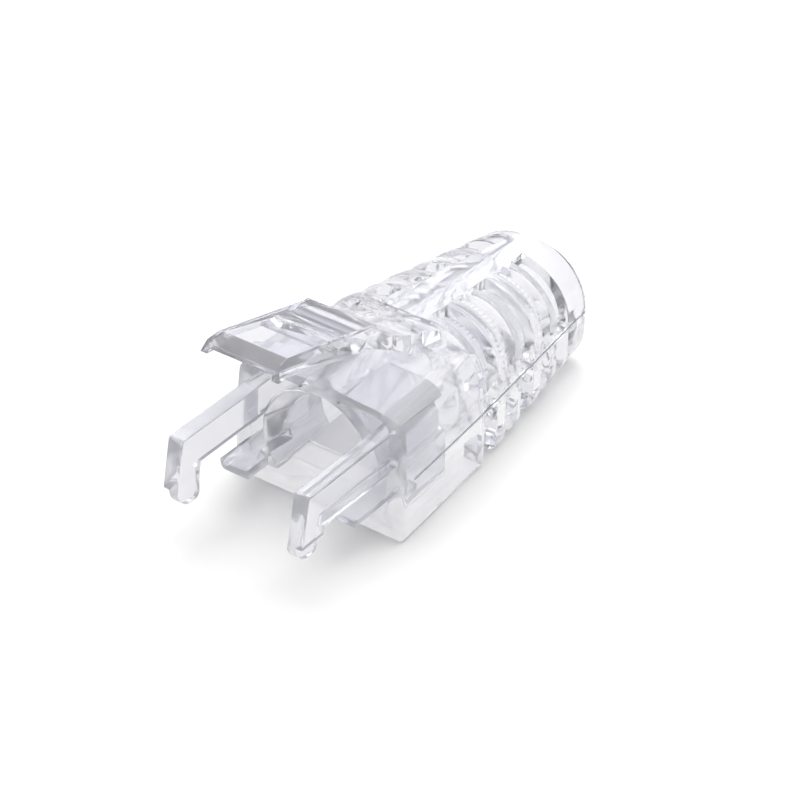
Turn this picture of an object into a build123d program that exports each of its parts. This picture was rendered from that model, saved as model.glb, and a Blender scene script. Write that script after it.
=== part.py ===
from build123d import *
import os

os.makedirs("parts", exist_ok=True)

# Overall lengths along Y, millimetres
prong_reach = 8.75
housing_length = 8.5
tail_length = 14.85
overall_length = prong_reach + housing_length + tail_length
nose_y = -overall_length / 2
face_y = nose_y + prong_reach
shoulder_y = face_y + housing_length
tail_y = shoulder_y + tail_length

# Housing section, tapering in plan toward the tail
parting_z = 4.3
face_half_width = 6.7
shoulder_half_width = face_half_width - 0.59
housing_side_z = 8.5
housing_crown_z = 8.95
draft_top = 0.30
draft_bottom = 0.10
housing_top_radius = 1.2
housing_base_radius = 0.35
face_lean = 0.45
face_edge_radius = 0.25

# Cable tube and the pocket around it
bore_radius = 3.2
bore_z = parting_z
tube_radius = bore_radius + 1.1
funnel_radius = tube_radius - 0.2
funnel_depth = 0.95
tube_lead = 0.3
bore_floor_z = 2.45
bore_sill_z = 2.15
bore_sill_length = 2.3
exit_radius = bore_radius + 0.25
exit_depth = 0.7
front_core_draft = 0.15
pocket_half_width = 5.3
pocket_floor_z = 1.45
pocket_roof_z = 8.35
pocket_depth = 5.0
pocket_radius = 0.9

# Side prongs with an inward stepped section and a hook at each tip
prong_inner_x = 4.2
prong_outer_x = pocket_half_width + 0.05
prong_top_z = 7.55
prong_edge_radius = 0.14
prong_step_z = 5.2
prong_web_x = 4.75
prong_web_z = 4.7
prong_web_overlap = 1.2
tip_bottom_z = 4.15
tip_lean = 0.7
hook_outer_x = 4.85
hook_bottom_z = 2.75
hook_length = 2.2
hook_nose_run = 1.15
hook_nose_radius = 1.4
hook_heel_radius = 0.45
hook_heel_lean = 0.15
tip_bevel = 0.15

# Lower guide rails beside the tube
rail_inner_x = 3.15
rail_outer_x = pocket_half_width + 0.05
rail_bottom_z = 2.4
rail_top_z = 3.1
rail_reach = 3.4
rail_edge_radius = 0.15
rail_corner_radius = 0.45
rail_tail_y = face_y + 1.8

# Tail section, from a rounded box to an oval
tail_half_width = bore_radius + 1.53
shoulder_top_z = 10.05
tail_top_z = bore_z + bore_radius + 0.86
shoulder_top_radius = 3.84
tail_top_radius = tail_top_z - parting_z
shoulder_base_radius = 0.45
tail_base_radius = 2.7
tail_end_radius = 0.5
top_lean = 0.15
base_lean = 0.05

# Flex grooves, deep and shallow by turns, with webs left along the top and bottom
groove_count = 5
groove_pitch = 2.42
first_groove_y = shoulder_y + 1.62
deep_groove_width = 1.5
deep_groove = 0.8
shallow_groove_width = 1.05
shallow_groove = 0.42
spine_half_height = 0.22
web_shoulder_half_width = 1.8
web_tail_half_width = 0.9
rib_edge_chamfer = 0.13
cutter_half_width = shoulder_half_width + 0.5

# Latch hood: sloping roof, bevel and lip at the front, flared side walls
hood_half_width = 2.57
hood_flare = 0.32
hood_side_depth = 1.2
hood_wall = 0.5
hood_skin = 0.75
hood_rear_y = face_y + 2.28
hood_rear_z = 13.15
hood_fold_y = face_y - 6.13
hood_fold_z = 15.26
bevel_y = hood_fold_y - 0.89
bevel_z = hood_fold_z - 0.10
lip_y = bevel_y - 0.49
lip_z = bevel_z - 0.80
lip_thickness = 0.55
lip_notch = 0.3
side_front_y = hood_fold_y - 0.32
side_front_z = hood_fold_z - 1.01
side_rear_y = hood_rear_y - 1.99
side_rear_z = hood_rear_z - 0.83
hood_edge_radius = 0.22
roof_rib_y = hood_rear_y - 4.15
roof_rib_width = 1.3
roof_rib_height = 0.3

# Sprung arm from the hood's rear down to the shoulder
arm_half_width = hood_half_width
arm_bend_run = 1.43
arm_bend_drop = 1.55
arm_knee_run = 3.3
arm_knee_drop = 2.47
arm_root_y = shoulder_y - 1.2
arm_root_z = shoulder_top_z - 0.08
arm_root_half_width = 3.1
arm_end_y = shoulder_y + 0.3
arm_end_z = shoulder_top_z - 0.4
arm_belly_run = 2.35
arm_belly_drop = 1.12
arm_foot_y = shoulder_y - 1.8
arm_sink = 0.6


def plane_at(y):
    return Plane.XZ.offset(-y)


def housing_section(y, half_width):
    with BuildSketch(plane_at(y)) as section:
        with BuildLine():
            top = half_width - draft_top
            base = half_width - draft_bottom
            ThreePointArc((-top, housing_side_z), (0, housing_crown_z), (top, housing_side_z))
            Line((top, housing_side_z), (half_width, parting_z))
            Line((half_width, parting_z), (base, 0))
            Line((base, 0), (-base, 0))
            Line((-base, 0), (-half_width, parting_z))
            Line((-half_width, parting_z), (-top, housing_side_z))
        make_face()
        rows = section.vertices().group_by(Axis.Y)
        fillet(rows[-1], housing_top_radius)
        rows = section.vertices().group_by(Axis.Y)
        fillet(rows[0], housing_base_radius)
    return section.sketch


def tail_section(y, half_width, top_z, top_radius, base_radius, inset=0.0):
    with BuildSketch(plane_at(y)) as section:
        side = half_width - inset
        roof = top_z - inset
        base = inset
        with BuildLine():
            Polyline(
                (side - top_lean, roof),
                (side, parting_z),
                (side - base_lean, base),
                (-side + base_lean, base),
                (-side, parting_z),
                (-side + top_lean, roof),
                close=True,
            )
        make_face()
        rows = section.vertices().group_by(Axis.Y)
        fillet(rows[-1], top_radius - inset)
        rows = section.vertices().group_by(Axis.Y)
        fillet(rows[0], max(base_radius - inset, 0.3))
    return section.sketch


def tail_body(inset=0.0):
    with BuildPart() as body:
        add(tail_section(shoulder_y, shoulder_half_width, shoulder_top_z,
                         shoulder_top_radius, shoulder_base_radius, inset))
        add(tail_section(tail_y, tail_half_width, tail_top_z,
                         tail_top_radius, tail_base_radius, inset))
        loft(ruled=True)
    return body.part


# Housing shell
with BuildPart() as housing:
    add(housing_section(face_y - face_lean, face_half_width))
    add(housing_section(shoulder_y, shoulder_half_width))
    loft(ruled=True)
    with BuildSketch(Plane.YZ):
        Polygon(
            (face_y - face_lean - 1, -1),
            (face_y - face_lean, -1),
            (face_y - face_lean, 0),
            (face_y, housing_crown_z),
            (face_y, housing_crown_z + 1),
            (face_y - face_lean - 1, housing_crown_z + 1),
            align=None,
        )
    extrude(amount=face_half_width + 1, both=True, mode=Mode.SUBTRACT)
    fillet(housing.faces().sort_by(Axis.Y)[0].edges(), face_edge_radius)

# Tail envelope with a rounded end
with BuildPart() as tail:
    add(tail_body())
    end_edges = tail.faces().sort_by(Axis.Y)[-1].edges()
    fillet(end_edges, tail_end_radius)

# Material left standing inside the grooves
with BuildPart() as spines:
    with BuildSketch(Plane.YZ.offset(-cutter_half_width)):
        with Locations(((shoulder_y + tail_y) / 2, parting_z)):
            Rectangle(tail_length, 2 * spine_half_height)
    extrude(amount=2 * cutter_half_width)

with BuildPart() as webs:
    with BuildSketch(Plane.XY.offset(-1)):
        Polygon(
            (-web_shoulder_half_width, shoulder_y),
            (web_shoulder_half_width, shoulder_y),
            (web_tail_half_width, tail_y),
            (-web_tail_half_width, tail_y),
            align=None,
        )
    extrude(amount=shoulder_top_z + 2)
    add(tail.part, mode=Mode.INTERSECT)


def groove_cutter(stations, width, depth, kept):
    with BuildPart() as cutter:
        for y in stations:
            with BuildSketch(plane_at(y + width / 2)):
                with Locations((0, shoulder_top_z / 2)):
                    Rectangle(2 * cutter_half_width, shoulder_top_z + 4)
            extrude(amount=width)
        add(tail_body(depth), mode=Mode.SUBTRACT)
        add(kept, mode=Mode.SUBTRACT)
    return cutter.part


stations = [first_groove_y + groove_pitch * i for i in range(groove_count)]
deep_cutter = groove_cutter(stations[0::2], deep_groove_width, deep_groove, spines.part)
shallow_cutter = groove_cutter(stations[1::2], shallow_groove_width, shallow_groove, spines.part)


def rib_rims(part, skin, y):
    rims = part.edges().filter_by_position(Axis.Y, y - 1e-4, y + 1e-4)
    return [e for e in rims if min(f.distance_to(e @ 0.5) for f in skin) < 1e-3]


# Ribbed tail: deep grooves with bevelled rims, then the shallow ones, then the webs
with BuildPart() as ribbed_tail:
    skin = tail.faces()
    add(tail.part)
    add(deep_cutter, mode=Mode.SUBTRACT)
    rims = []
    for y in stations[0::2]:
        for side in (y - deep_groove_width / 2, y + deep_groove_width / 2):
            rims += rib_rims(ribbed_tail, skin, side)
    rims = [e for e in rims if e.geom_type != GeomType.LINE]
    chamfer(rims, rib_edge_chamfer)
    add(shallow_cutter, mode=Mode.SUBTRACT)
    add(webs.part)

# Pocket around the tube at the front
with BuildPart() as pocket:
    with BuildSketch(plane_at(face_y + pocket_depth)):
        with Locations((0, (pocket_floor_z + pocket_roof_z) / 2)):
            RectangleRounded(2 * pocket_half_width, pocket_roof_z - pocket_floor_z, pocket_radius)
    extrude(amount=pocket_depth + face_lean + 1)

# Cable tube
with BuildPart() as tube:
    with BuildSketch(plane_at(face_y + pocket_depth + 1)):
        with Locations((0, bore_z)):
            Circle(tube_radius)
    extrude(amount=pocket_depth + 1 + tube_lead)

# Bore: funnel mouth and drafted front stretch, straight tail stretch, relieved exit
front = face_y - tube_lead
bore_start_y = shoulder_y + 0.3
with BuildPart() as bore:
    with BuildSketch(Plane.XY.offset(bore_z)):
        with BuildLine():
            Polyline(
                (0, front - 1),
                (funnel_radius, front - 1),
                (funnel_radius, front),
                (bore_radius + front_core_draft, front + funnel_depth),
                (bore_radius + front_core_draft / 2, bore_start_y),
                (bore_radius, bore_start_y),
                (bore_radius, tail_y - exit_depth),
                (exit_radius, tail_y),
                (exit_radius, tail_y + 1),
                (0, tail_y + 1),
                close=True,
            )
        make_face()
    revolve(axis=Axis((0, 0, bore_z), (0, 1, 0)))
    with BuildSketch(Plane.YZ.offset(-tube_radius)):
        Polygon(
            (front + funnel_depth, bore_z - bore_radius - 1),
            (shoulder_y, bore_z - bore_radius - 1),
            (shoulder_y, bore_floor_z),
            (face_y + bore_sill_length, bore_floor_z),
            (face_y + bore_sill_length, bore_sill_z),
            (front + funnel_depth, bore_sill_z),
            align=None,
        )
    extrude(amount=2 * tube_radius, mode=Mode.SUBTRACT)

# One prong: beam with a lower outer lip, a full tip and a hook
tip_y = nose_y
tip_back_y = tip_y + hook_length
root_y = face_y + pocket_depth + 0.5
with BuildPart() as prong:
    with BuildSketch(Plane.YZ.offset(prong_inner_x)):
        Polygon(
            (root_y, prong_top_z),
            (tip_y + tip_lean + tip_bevel, prong_top_z),
            (tip_y + tip_lean, prong_top_z - tip_bevel),
            (tip_y, tip_bottom_z),
            (tip_back_y - hook_heel_lean, tip_bottom_z),
            (tip_back_y + hook_heel_lean, prong_step_z),
            (root_y, prong_step_z),
            align=None,
        )
    extrude(amount=prong_outer_x - prong_inner_x)
    with BuildSketch(Plane.YZ.offset(prong_web_x)):
        with Locations((tip_back_y - prong_web_overlap, prong_web_z)):
            Rectangle(
                face_y - tip_back_y + 2 * prong_web_overlap,
                prong_step_z - prong_web_z + prong_web_overlap,
                align=(Align.MIN, Align.MIN),
            )
    extrude(amount=prong_outer_x - prong_web_x)
    with BuildSketch(Plane.YZ.offset(prong_inner_x)):
        with BuildLine():
            nose = (tip_y + hook_nose_run, hook_bottom_z)
            heel = (tip_back_y - hook_heel_lean, hook_bottom_z + hook_heel_radius)
            sole = (heel[0] - hook_heel_radius, hook_bottom_z)
            Line((tip_y + tip_lean / 2, prong_step_z), (tip_y, tip_bottom_z))
            RadiusArc((tip_y, tip_bottom_z), nose, -hook_nose_radius)
            Line(nose, sole)
            RadiusArc(sole, heel, -hook_heel_radius)
            Line(heel, (tip_back_y, prong_step_z))
            Line((tip_back_y, prong_step_z), (tip_y + tip_lean / 2, prong_step_z))
        make_face()
    extrude(amount=hook_outer_x - prong_inner_x)
    beam_edges = prong.edges().filter_by_position(Axis.Z, prong_step_z + 0.3, prong_top_z)
    fillet(beam_edges.filter_by_position(Axis.Y, tip_y, face_y), prong_edge_radius)

# One lower guide rail
with BuildPart() as rail:
    with BuildSketch(Plane.XY.offset(rail_bottom_z)):
        Polygon(
            (rail_inner_x, face_y - rail_reach),
            (rail_outer_x, face_y - rail_reach),
            (rail_outer_x, rail_tail_y),
            (rail_inner_x, rail_tail_y),
            align=None,
        )
    extrude(amount=rail_top_z - rail_bottom_z)
    fillet(rail.edges().filter_by(Axis.Y).sort_by(Axis.Z)[:2].sort_by(Axis.X)[-1:], rail_corner_radius)
    fillet(rail.faces().sort_by(Axis.Y)[0].edges().filter_by(Axis.Z), rail_edge_radius)

# Hood: outer wedge less the space under its roof, with one stiffening rib across
hood_run = Vector(0, hood_rear_y - hood_fold_y, hood_rear_z - hood_fold_z)
hood_plane = Plane(origin=(0, hood_fold_y, hood_fold_z), x_dir=(-1, 0, 0), z_dir=hood_run.normalized())


def hood_wedge(top_half_width, top_depth, foot_depth):
    half_foot = top_half_width + hood_flare * (foot_depth - top_depth) / hood_side_depth
    with BuildPart() as wedge:
        with BuildSketch(hood_plane.offset(-hood_side_depth * 2)):
            Polygon(
                (-top_half_width, -top_depth),
                (top_half_width, -top_depth),
                (half_foot, -foot_depth),
                (-half_foot, -foot_depth),
                align=None,
            )
        extrude(amount=hood_run.length + hood_side_depth * 4)
    return wedge.part


with BuildPart() as hood_space:
    under_half_width = hood_half_width + hood_flare * hood_skin / hood_side_depth - hood_wall
    add(hood_wedge(under_half_width, hood_skin, 3 * hood_side_depth))
    with BuildSketch(Plane.YZ.offset(-tube_radius)):
        Polygon(
            (side_rear_y - hood_wall, side_rear_z + hood_side_depth),
            (side_rear_y - hood_wall, side_rear_z - hood_side_depth),
            (lip_y - 1, lip_z - 2 * hood_side_depth),
            (lip_y - 1, lip_z + lip_notch),
            (lip_y + lip_thickness, lip_z + lip_notch),
            (bevel_y + lip_thickness, bevel_z),
            align=None,
        )
    extrude(amount=2 * tube_radius, mode=Mode.INTERSECT)
    roof_slope = (hood_fold_z - hood_rear_z) / (hood_rear_y - hood_fold_y)
    roof_rib_z = hood_rear_z + (hood_rear_y - roof_rib_y) * roof_slope
    with Locations(Plane(origin=(0, roof_rib_y, roof_rib_z), x_dir=(1, 0, 0), z_dir=hood_plane.y_dir)):
        Box(2 * tube_radius, roof_rib_width, 2 * (hood_skin + roof_rib_height), mode=Mode.SUBTRACT)

with BuildPart() as hood:
    add(hood_wedge(hood_half_width, 0, 2 * hood_side_depth))
    with BuildSketch(Plane.YZ.offset(-tube_radius)):
        Polygon(
            (hood_rear_y, hood_rear_z),
            (hood_fold_y, hood_fold_z),
            (bevel_y, bevel_z),
            (lip_y, lip_z),
            (side_front_y, side_front_z),
            (side_rear_y, side_rear_z),
            align=None,
        )
    extrude(amount=2 * tube_radius, mode=Mode.INTERSECT)
    upper_edges = hood.edges().filter_by_position(Axis.Y, bevel_y, side_rear_y)
    side_edges = upper_edges.filter_by(lambda e: 1 < abs(e.center().X) < hood_half_width + hood_flare / 2)
    fold_edge = upper_edges.filter_by(Axis.X).sort_by(Axis.Z)[-1:]
    fillet(side_edges + fold_edge, hood_edge_radius)
    add(hood_space.part, mode=Mode.SUBTRACT)

with BuildPart() as arm:
    with BuildSketch(Plane.YZ.offset(-arm_root_half_width)):
        with BuildLine():
            bend = (hood_rear_y + arm_bend_run, hood_rear_z - arm_bend_drop)
            knee = (hood_rear_y + arm_knee_run, hood_rear_z - arm_knee_drop)
            root = (arm_root_y, arm_root_z)
            end = (arm_end_y, arm_end_z)
            buried = (arm_end_y, housing_crown_z - arm_sink)
            foot = (arm_foot_y, housing_crown_z - arm_sink)
            belly = (side_rear_y + arm_belly_run, side_rear_z - arm_belly_drop)
            Spline((hood_rear_y, hood_rear_z), bend, knee, root, end)
            Line(end, buried)
            Line(buried, foot)
            Spline(foot, belly, (side_rear_y, side_rear_z))
            Line((side_rear_y, side_rear_z), (side_rear_y, hood_rear_z))
            Line((side_rear_y, hood_rear_z), (hood_rear_y, hood_rear_z))
        make_face()
    extrude(amount=2 * arm_root_half_width)
    with BuildSketch():
        Polygon(
            (-arm_half_width, side_rear_y),
            (arm_half_width, side_rear_y),
            (arm_half_width, arm_root_y),
            (arm_root_half_width, shoulder_y),
            (arm_root_half_width, arm_end_y),
            (-arm_root_half_width, arm_end_y),
            (-arm_root_half_width, shoulder_y),
            (-arm_half_width, arm_root_y),
            align=None,
        )
    extrude(amount=hood_rear_z + 1, mode=Mode.INTERSECT)

# The whole boot
with BuildPart() as boot:
    add(housing.part)
    add(pocket.part, mode=Mode.SUBTRACT)
    add(ribbed_tail.part)
    add(tube.part)
    add(prong.part)
    add(mirror(prong.part, about=Plane.YZ))
    add(rail.part)
    add(mirror(rail.part, about=Plane.YZ))
    add(arm.part)
    add(hood.part)
    add(bore.part, mode=Mode.SUBTRACT)

boot.part.label = "boot"
export_step(boot.part, "parts/boot.step")
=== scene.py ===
"""Clear one-piece strain relief boot for a round network cable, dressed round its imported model.

The boot is one clear moulding, so the scene holds one main piece and the two fine witness lines
that its mould halves leave, on a pale sweep in a plain soft studio.
"""

import logging
import math
from dataclasses import dataclass
from enum import Enum

import bmesh
import bpy
from mathutils import Matrix, Vector


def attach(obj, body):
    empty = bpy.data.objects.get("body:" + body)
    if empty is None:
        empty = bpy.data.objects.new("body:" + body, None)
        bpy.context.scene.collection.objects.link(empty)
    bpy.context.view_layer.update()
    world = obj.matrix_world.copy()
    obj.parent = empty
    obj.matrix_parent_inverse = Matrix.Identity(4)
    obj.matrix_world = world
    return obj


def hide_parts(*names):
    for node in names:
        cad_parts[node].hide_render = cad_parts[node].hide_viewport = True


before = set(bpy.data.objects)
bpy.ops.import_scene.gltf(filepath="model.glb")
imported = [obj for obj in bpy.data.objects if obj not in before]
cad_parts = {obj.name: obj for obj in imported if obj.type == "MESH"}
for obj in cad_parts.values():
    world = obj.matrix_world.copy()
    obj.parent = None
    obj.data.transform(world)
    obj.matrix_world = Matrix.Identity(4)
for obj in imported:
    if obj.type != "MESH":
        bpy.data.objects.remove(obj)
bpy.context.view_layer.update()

MM = 0.001

# The sRGB curve: a straight toe up to the knee, and a power above it
SRGB_KNEE = 0.04045
SRGB_TOE_SLOPE = 12.92
SRGB_OFFSET = 0.055
SRGB_POWER = 2.4

# A Mix node repeats its socket names for each kind of value, so its colours go by number
MIX_SHARE = 0
MIX_FIRST_COLOUR = 6
MIX_SECOND_COLOUR = 7
MIX_RESULT_COLOUR = 2

log = logging.getLogger("boot_scene")


def linear_rgba(hex_code: str) -> tuple[float, float, float, float]:
    """Turn an sRGB hex code into linear colour.

    Args:
        hex_code: Six hex digits, such as "E6E6EE".

    Returns:
        Linear red, green and blue, and an alpha of 1.
    """
    shares = [int(hex_code[start:start + 2], 16) / 255 for start in (0, 2, 4)]
    linear = [
        share / SRGB_TOE_SLOPE if share <= SRGB_KNEE
        else ((share + SRGB_OFFSET) / (1 + SRGB_OFFSET)) ** SRGB_POWER
        for share in shares
    ]
    return (*linear, 1.0)


def toward(azimuth_deg: float, elevation_deg: float) -> Vector:
    """Find the direction from the boot to a place round it and above it.

    Args:
        azimuth_deg: Turn round the boot, from 0 in front of the prongs to 90 at its right.
        elevation_deg: Rise above the floor.

    Returns:
        A direction of length 1.
    """
    turn, rise = math.radians(azimuth_deg), math.radians(elevation_deg)
    return Vector((math.sin(turn) * math.cos(rise), -math.cos(turn) * math.cos(rise), math.sin(rise)))


def add_node(tree: bpy.types.NodeTree, kind: str, settings: dict[str, object] | None = None,
             links: dict[str | int, bpy.types.NodeSocket] | None = None,
             **values: object) -> bpy.types.Node:
    """Add one node with its settings, values and incoming links.

    Args:
        tree: The node tree that gets the node.
        kind: The node's type name.
        settings: Properties of the node itself, by name.
        links: Output sockets that feed the node, by input name or number.
        values: Constant inputs, with underscores for spaces in the socket's name.

    Returns:
        The new node.
    """
    node = tree.nodes.new(kind)
    for name, value in (settings or {}).items():
        setattr(node, name, value)
    for name, value in values.items():
        node.inputs[name.replace("_", " ")].default_value = value
    for name, socket in (links or {}).items():
        tree.links.new(socket, node.inputs[name])
    return node


def new_material(name: str) -> bpy.types.Material:
    """Make an empty node material.

    Args:
        name: The material's name.

    Returns:
        The material, with no nodes.
    """
    material = bpy.data.materials.new(name)
    material.use_nodes = True
    material.node_tree.nodes.clear()
    return material


@dataclass(frozen=True)
class ClearMoulding:
    """Clear vinyl, injection moulded, with one finish of the mould's steel.

    The eye sees a pale glassy solid with a faint cool cast. Thick clear plastic shrinks in slow
    waves as it cools, so its faces aren't quite flat and gently bend what shows through them.
    """

    name: str
    cast: str
    roughness: float
    clarity: float
    # Real vinyl's index is about 1.53. This one is lowered, to keep the boot's inside pale.
    ior: float = 1.36
    wave_length_mm: float = 2.4
    wave_height_mm: float = 0.004
    wave_detail: float = 1.0
    wave_roughness: float = 0.4

    def build(self) -> bpy.types.Material:
        """Make the material.

        Returns:
            A transmissive material with the slow surface waves of cooled plastic.
        """
        material = new_material(self.name)
        tree = material.node_tree
        place = add_node(tree, "ShaderNodeTexCoord")
        waves = add_node(tree, "ShaderNodeTexNoise", links={"Vector": place.outputs["Object"]},
                         Scale=1 / (self.wave_length_mm * MM), Detail=self.wave_detail,
                         Roughness=self.wave_roughness)
        bump = add_node(tree, "ShaderNodeBump", links={"Height": waves.outputs["Fac"]},
                        Strength=1.0, Distance=self.wave_height_mm * MM)
        shader = add_node(tree, "ShaderNodeBsdfPrincipled", links={"Normal": bump.outputs["Normal"]},
                          Base_Color=linear_rgba(self.cast), Roughness=self.roughness, IOR=self.ior,
                          Transmission_Weight=self.clarity)
        add_node(tree, "ShaderNodeOutputMaterial", links={"Surface": shader.outputs["BSDF"]})
        return material


@dataclass(frozen=True)
class PaleSweep:
    """White background paper, matt as rolled: no gloss, and a soft grey shadow under the boot.

    The eye sees plain white, so a small share of plain light is added for the camera, and a larger
    one where the paper shows in the plastic or through it.
    """

    name: str = "sweep_paper_white"
    colour: str = "F5F5F3"
    camera_share: float = 0.05
    plastic_share: float = 0.8

    def build(self) -> bpy.types.Material:
        """Make the material.

        Returns:
            A matt white that keeps its shadows, and is paler still to the camera, gloss and glass.
        """
        material = new_material(self.name)
        tree = material.node_tree
        path = add_node(tree, "ShaderNodeLightPath")
        plastic = add_node(tree, "ShaderNodeMath", {"operation": "MAXIMUM"},
                           {0: path.outputs["Is Glossy Ray"], 1: path.outputs["Is Transmission Ray"]})
        in_plastic = add_node(tree, "ShaderNodeMath", {"operation": "MULTIPLY"}, {0: plastic.outputs[0]})
        in_plastic.inputs[1].default_value = self.plastic_share
        share = add_node(tree, "ShaderNodeMath", {"operation": "MULTIPLY_ADD"},
                         {0: path.outputs["Is Camera Ray"], 2: in_plastic.outputs[0]})
        share.inputs[1].default_value = self.camera_share
        paper = add_node(tree, "ShaderNodeBsdfDiffuse", Color=linear_rgba(self.colour))
        white = add_node(tree, "ShaderNodeEmission", Strength=1.0)
        both = add_node(tree, "ShaderNodeMixShader",
                        links={0: share.outputs[0], 1: paper.outputs[0], 2: white.outputs[0]})
        add_node(tree, "ShaderNodeOutputMaterial", links={"Surface": both.outputs[0]})
        return material


class Flank(Enum):
    """Side of the boot that a witness line runs along, as the sign of its X."""

    LEFT = -1
    RIGHT = 1


@dataclass
class WitnessLine:
    """Fine raised line that the closed mould leaves along one flank, at the parting plane."""

    flank: Flank
    plastic: bpy.types.Material
    # Just above the parting plane at 4.3 mm, so that the rays meet faces and not the edges on it
    height_mm: float = 4.303
    start_mm: float = -6.5
    end_mm: float = 15.5
    step_mm: float = 0.25
    ray_start_mm: float = 50.0
    width_mm: float = 0.14
    depth_mm: float = 0.06
    proud_mm: float = 0.03

    def path(self, surface: bpy.types.Object) -> bpy.types.Object:
        """Trace the line along the boot's flank.

        Args:
            surface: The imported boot, whose flank the line follows.

        Returns:
            An object of joined points, sunk so that the strip stands proud by its set height.
        """
        side = self.flank.value
        inward = Vector((-side, 0, 0))
        height = self.height_mm * MM
        sunk = (self.depth_mm / 2 - self.proud_mm) * MM
        steps = round((self.end_mm - self.start_mm) / self.step_mm)
        points = []
        for step in range(steps + 1):
            along = (self.start_mm + step * self.step_mm) * MM
            outside = Vector((side * self.ray_start_mm * MM, along, height))
            hit, place, _, _ = surface.ray_cast(outside, inward)
            if hit:
                points.append((place.x - side * sunk, along, height))
        mesh = bpy.data.meshes.new(f"witness_path_{self.flank.name.lower()}")
        mesh.from_pydata(points, [(i, i + 1) for i in range(len(points) - 1)], [])
        return bpy.data.objects.new(mesh.name, mesh)

    def tree(self) -> bpy.types.NodeTree:
        """Make the node group that sweeps a flat strip along a path.

        Returns:
            A group with named inputs for the strip's width, depth and material.
        """
        group = bpy.data.node_groups.new("witness_strip", "GeometryNodeTree")
        inputs = {"Geometry": "NodeSocketGeometry", "Width": "NodeSocketFloat",
                  "Depth": "NodeSocketFloat", "Material": "NodeSocketMaterial"}
        for name, kind in inputs.items():
            group.interface.new_socket(name, in_out="INPUT", socket_type=kind)
        group.interface.new_socket("Geometry", in_out="OUTPUT", socket_type=inputs["Geometry"])
        given = add_node(group, "NodeGroupInput").outputs
        curve = add_node(group, "GeometryNodeMeshToCurve", links={"Mesh": given["Geometry"]})
        level = add_node(group, "GeometryNodeSetCurveNormal", {"mode": "Z_UP"},
                         {"Curve": curve.outputs["Curve"]})
        strip = add_node(group, "GeometryNodeCurvePrimitiveQuadrilateral",
                         links={"Width": given["Depth"], "Height": given["Width"]})
        swept = add_node(group, "GeometryNodeCurveToMesh", Fill_Caps=True,
                         links={"Curve": level.outputs["Curve"], "Profile Curve": strip.outputs["Curve"]})
        real = add_node(group, "GeometryNodeRealizeInstances", links={"Geometry": swept.outputs["Mesh"]})
        dressed = add_node(group, "GeometryNodeSetMaterial",
                           links={"Geometry": real.outputs["Geometry"], "Material": given["Material"]})
        add_node(group, "NodeGroupOutput", links={"Geometry": dressed.outputs["Geometry"]})
        return group

    def build(self, surface: bpy.types.Object) -> bpy.types.Object:
        """Sweep the strip and keep it as a plain closed mesh.

        Args:
            surface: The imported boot, whose flank the line follows.

        Returns:
            The line's mesh object.
        """
        path = self.path(surface)
        bpy.context.scene.collection.objects.link(path)
        group = self.tree()
        sweep = path.modifiers.new("sweep", "NODES")
        sweep.node_group = group
        given = {"Width": self.width_mm * MM, "Depth": self.depth_mm * MM, "Material": self.plastic}
        for socket in group.interface.items_tree:
            if socket.in_out == "INPUT" and socket.name in given:
                sweep[socket.identifier] = given[socket.name]
        evaluated = path.evaluated_get(bpy.context.evaluated_depsgraph_get())
        mesh = bpy.data.meshes.new_from_object(evaluated)
        mesh.name = f"witness_line_{self.flank.name.lower()}"
        shape = bmesh.new()
        shape.from_mesh(mesh)
        bmesh.ops.recalc_face_normals(shape, faces=shape.faces)
        shape.to_mesh(mesh)
        shape.free()
        bpy.data.objects.remove(path)
        line = bpy.data.objects.new(mesh.name, mesh)
        bpy.context.scene.collection.objects.link(line)
        return line


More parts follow.
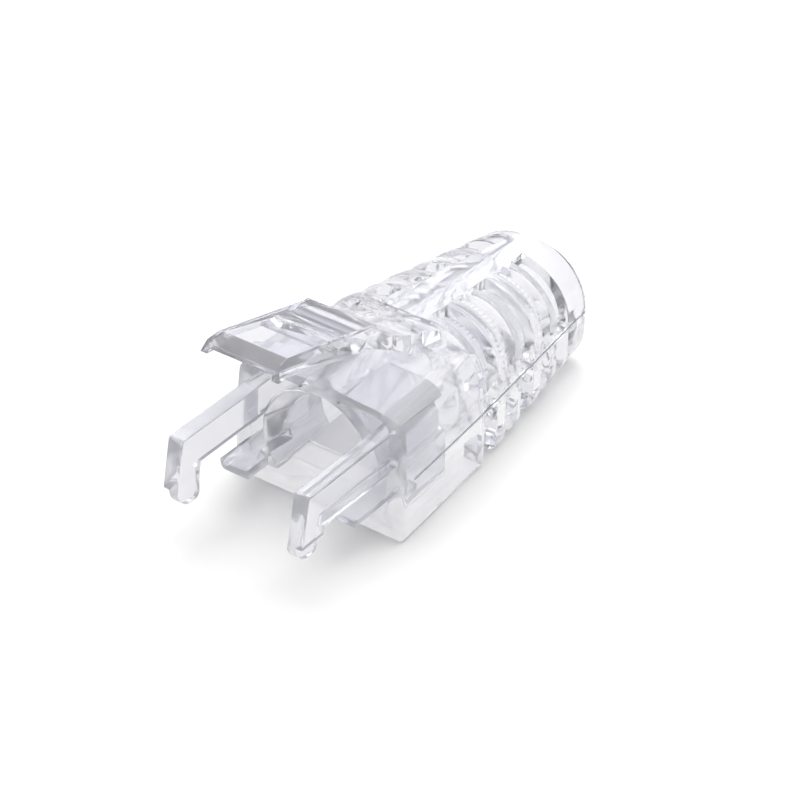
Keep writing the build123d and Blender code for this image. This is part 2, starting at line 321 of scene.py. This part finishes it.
@dataclass
class Boot:
    """The moulded boot: housing, prongs, hood and ribbed tail in one piece."""

    node: str = "boot"
    body: str = "root"
    slot: str = "clear_plastic"
    merge_mm: float = 0.0005
    crease_deg: float = 28.0
    flat_face_weight: int = 100
    # Off bright polished steel, on the tail, the arm and the hood: glassy, with sharp glints
    polished: ClearMoulding = ClearMoulding("clear_vinyl_polished", "FAFAFE", roughness=0.04, clarity=0.89)
    # Off finely blasted steel, on the housing and prongs: milkier, and the pocket shows softly
    satin: ClearMoulding = ClearMoulding("clear_vinyl_satin", "FAFAFE", roughness=0.11, clarity=0.79)
    # A facet is satin where its centre lies in front of the shoulder and below the arm's root
    satin_back_mm: float = 1.0
    satin_top_mm: float = 9.6
    # Where the mould halves meet: a real raised ridge with a dull finish, and a grey colour that is painted
    # shade, so that each flank carries one thin grey line
    parting: ClearMoulding = ClearMoulding("clear_vinyl_parting_line_painted_grey", "DCDCE6", roughness=0.3, clarity=0.7)

    def lay_finishes(self, mesh: bpy.types.Mesh) -> None:
        """Give the housing and prongs the satin finish and the rest the polished one.

        Args:
            mesh: The moulding's mesh.
        """
        mesh.materials.clear()
        for finish in (self.polished, self.satin):
            mesh.materials.append(finish.build())
        for facet in mesh.polygons:
            in_front = facet.center.y < self.satin_back_mm * MM
            below_arm = facet.center.z < self.satin_top_mm * MM
            facet.material_index = int(in_front and below_arm)

    def moulding(self) -> bpy.types.Object:
        """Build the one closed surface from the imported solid's facets.

        Returns:
            The boot's mesh object, with smooth curves and crisp creases.
        """
        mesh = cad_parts[self.node].data.copy()
        mesh.name = "boot_moulding"
        shape = bmesh.new()
        shape.from_mesh(mesh)
        bmesh.ops.remove_doubles(shape, verts=shape.verts, dist=self.merge_mm * MM)
        shape.to_mesh(mesh)
        shape.free()
        self.lay_finishes(mesh)
        mesh.shade_smooth()
        mesh.set_sharp_from_angle(angle=math.radians(self.crease_deg))
        piece = bpy.data.objects.new(mesh.name, mesh)
        bpy.context.scene.collection.objects.link(piece)
        level = piece.modifiers.new("flat_faces_first", "WEIGHTED_NORMAL")
        level.mode = "FACE_AREA"
        level.weight = self.flat_face_weight
        level.keep_sharp = True
        return piece

    def build(self) -> list[bpy.types.Object]:
        """Build and place every piece of the boot.

        Returns:
            The pieces, riding on the part's one body.
        """
        moulding = self.moulding()
        # The witness lines' grey colour is painted shade along their real ridges
        dull_painted_grey = self.parting.build()
        lines = [WitnessLine(flank, dull_painted_grey).build(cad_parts[self.node]) for flank in Flank]
        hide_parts(self.node)
        pieces = [moulding, *lines]
        for piece in pieces:
            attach(piece, self.body)
        return pieces


@dataclass(frozen=True)
class Softbox:
    """One round softbox, aimed at the boot, in metres and watts."""

    name: str
    power: float
    width: float
    place: tuple[float, float, float]

    def build(self) -> None:
        """Hang the softbox."""
        light = bpy.data.lights.new(self.name, "AREA")
        light.shape = "DISK"
        light.size = self.width
        light.energy = self.power
        lamp = bpy.data.objects.new(self.name, light)
        lamp.location = self.place
        lamp.rotation_euler = (-lamp.location).to_track_quat("-Z", "Y").to_euler()
        bpy.context.scene.collection.objects.link(lamp)


@dataclass
class Studio:
    """Pale floor, a soft white tent with one dark opening, a large softbox and a weak one.

    Lengths are in metres.
    """

    floor_reach: float = 1.5
    overhead: Softbox = Softbox("overhead", 1.35, 0.45, (-0.02, 0.11, 0.45))
    behind: Softbox = Softbox("behind", 0.25, 0.3, (-0.24, 0.333, 0.285))
    # The tent's colours by height, from 0 at the horizon to 1 straight up
    cloth: tuple[tuple[float, str], ...] = (
        (0.0, "84848F"),
        (0.3, "D0D0DA"),
        (0.6, "FFFFFF"),
        (1.0, "FFFFFF"),
    )
    # The opening gives the grey glints in the polished tail
    opening_azimuth_deg: float = 50.0
    opening_elevation_deg: float = 34.0
    opening_half_deg: float = 27.0
    opening_soft_deg: float = 4.0
    opening_colour: str = "050506"
    backdrop_colour: str = "FFFFFF"

    def floor(self) -> None:
        """Lay the floor under the boot."""
        reach = self.floor_reach
        corners = [(-reach, -reach, 0), (reach, -reach, 0), (reach, reach, 0), (-reach, reach, 0)]
        mesh = bpy.data.meshes.new("sweep")
        mesh.from_pydata(corners, [], [(0, 1, 2, 3)])
        mesh.materials.append(PaleSweep().build())
        floor = bpy.data.objects.new("sweep", mesh)
        bpy.context.scene.collection.objects.link(floor)

    def opening_share(self, tree: bpy.types.NodeTree, look: bpy.types.Node) -> bpy.types.NodeSocket:
        """Find how far a direction looks out through the tent's opening.

        Args:
            tree: The world's node tree.
            look: The Texture Coordinate node that gives the direction.

        Returns:
            A socket that is 1 inside the opening and 0 on the tent's cloth.
        """
        nearness = add_node(tree, "ShaderNodeVectorMath", {"operation": "DOT_PRODUCT"},
                            {0: look.outputs["Generated"]})
        nearness.inputs[1].default_value = toward(self.opening_azimuth_deg, self.opening_elevation_deg)
        outer = math.radians(self.opening_half_deg + self.opening_soft_deg)
        inner = math.radians(self.opening_half_deg - self.opening_soft_deg)
        inside = add_node(tree, "ShaderNodeMapRange", {"interpolation_type": "SMOOTHSTEP"},
                          {"Value": nearness.outputs["Value"]},
                          From_Min=math.cos(outer), From_Max=math.cos(inner))
        return inside.outputs["Result"]

    def tent(self) -> None:
        """Light the scene from all round: white cloth, greyer low down, with one dark opening."""
        world = bpy.data.worlds.new("soft_tent")
        world.use_nodes = True
        tree = world.node_tree
        tree.nodes.clear()
        look = add_node(tree, "ShaderNodeTexCoord")
        parts = add_node(tree, "ShaderNodeSeparateXYZ", links={0: look.outputs["Generated"]})
        cloth = add_node(tree, "ShaderNodeValToRGB", links={"Fac": parts.outputs["Z"]})
        cloth.color_ramp.interpolation = "EASE"
        points = cloth.color_ramp.elements
        while len(points) < len(self.cloth):
            points.new(1.0)
        for point, (height, colour) in zip(points, self.cloth):
            point.position = height
            point.color = linear_rgba(colour)
        opened = add_node(tree, "ShaderNodeMix", {"data_type": "RGBA"},
                          {MIX_SHARE: self.opening_share(tree, look),
                           MIX_FIRST_COLOUR: cloth.outputs["Color"]})
        opened.inputs[MIX_SECOND_COLOUR].default_value = linear_rgba(self.opening_colour)
        path = add_node(tree, "ShaderNodeLightPath")
        seen = add_node(tree, "ShaderNodeMix", {"data_type": "RGBA"},
                        {MIX_SHARE: path.outputs["Is Camera Ray"],
                         MIX_FIRST_COLOUR: opened.outputs[MIX_RESULT_COLOUR]})
        seen.inputs[MIX_SECOND_COLOUR].default_value = linear_rgba(self.backdrop_colour)
        sky = add_node(tree, "ShaderNodeBackground", links={"Color": seen.outputs[MIX_RESULT_COLOUR]},
                       Strength=1.0)
        add_node(tree, "ShaderNodeOutputWorld", links={"Surface": sky.outputs[0]})
        bpy.context.scene.world = world

    def build(self) -> None:
        """Set up the whole studio."""
        self.floor()
        self.tent()
        self.overhead.build()
        self.behind.build()
        log.info("studio ready")


@dataclass
class ProductCamera:
    """Long lens looking down on the boot's mouth from the right, placed in metres."""

    aim: tuple[float, float, float] = (0.00180, -0.00142, 0.00534)
    distance: float = 0.15723
    azimuth_deg: float = 35.8
    elevation_deg: float = 34.8
    roll_deg: float = 0.4
    lens_mm: float = 112.5
    sensor_mm: float = 36.0
    nearest: float = 0.005
    farthest: float = 10.0

    def build(self) -> None:
        """Place the camera and make it the scene's own."""
        turn, roll = math.radians(self.azimuth_deg), math.radians(self.roll_deg)
        back = toward(self.azimuth_deg, self.elevation_deg)
        level = Vector((math.cos(turn), math.sin(turn), 0))
        right = level * math.cos(roll) + back.cross(level) * math.sin(roll)
        up = back.cross(right)
        data = bpy.data.cameras.new("product_camera")
        data.lens = self.lens_mm
        data.sensor_width = self.sensor_mm
        data.clip_start = self.nearest
        data.clip_end = self.farthest
        camera = bpy.data.objects.new("product_camera", data)
        turned = Matrix((right, up, back)).transposed().to_4x4()
        camera.matrix_world = Matrix.Translation(Vector(self.aim) + back * self.distance) @ turned
        bpy.context.scene.collection.objects.link(camera)
        bpy.context.scene.camera = camera


def main() -> None:
    """Build the camera, the studio and the boot in order."""
    logging.basicConfig(level=logging.INFO)
    ProductCamera().build()
    Studio().build()
    for piece in Boot().build():
        log.info("%s: %d faces", piece.name, len(piece.data.polygons))
    settings = bpy.context.scene.view_settings
    settings.view_transform = "Standard"


if __name__ == "__main__":
    main()
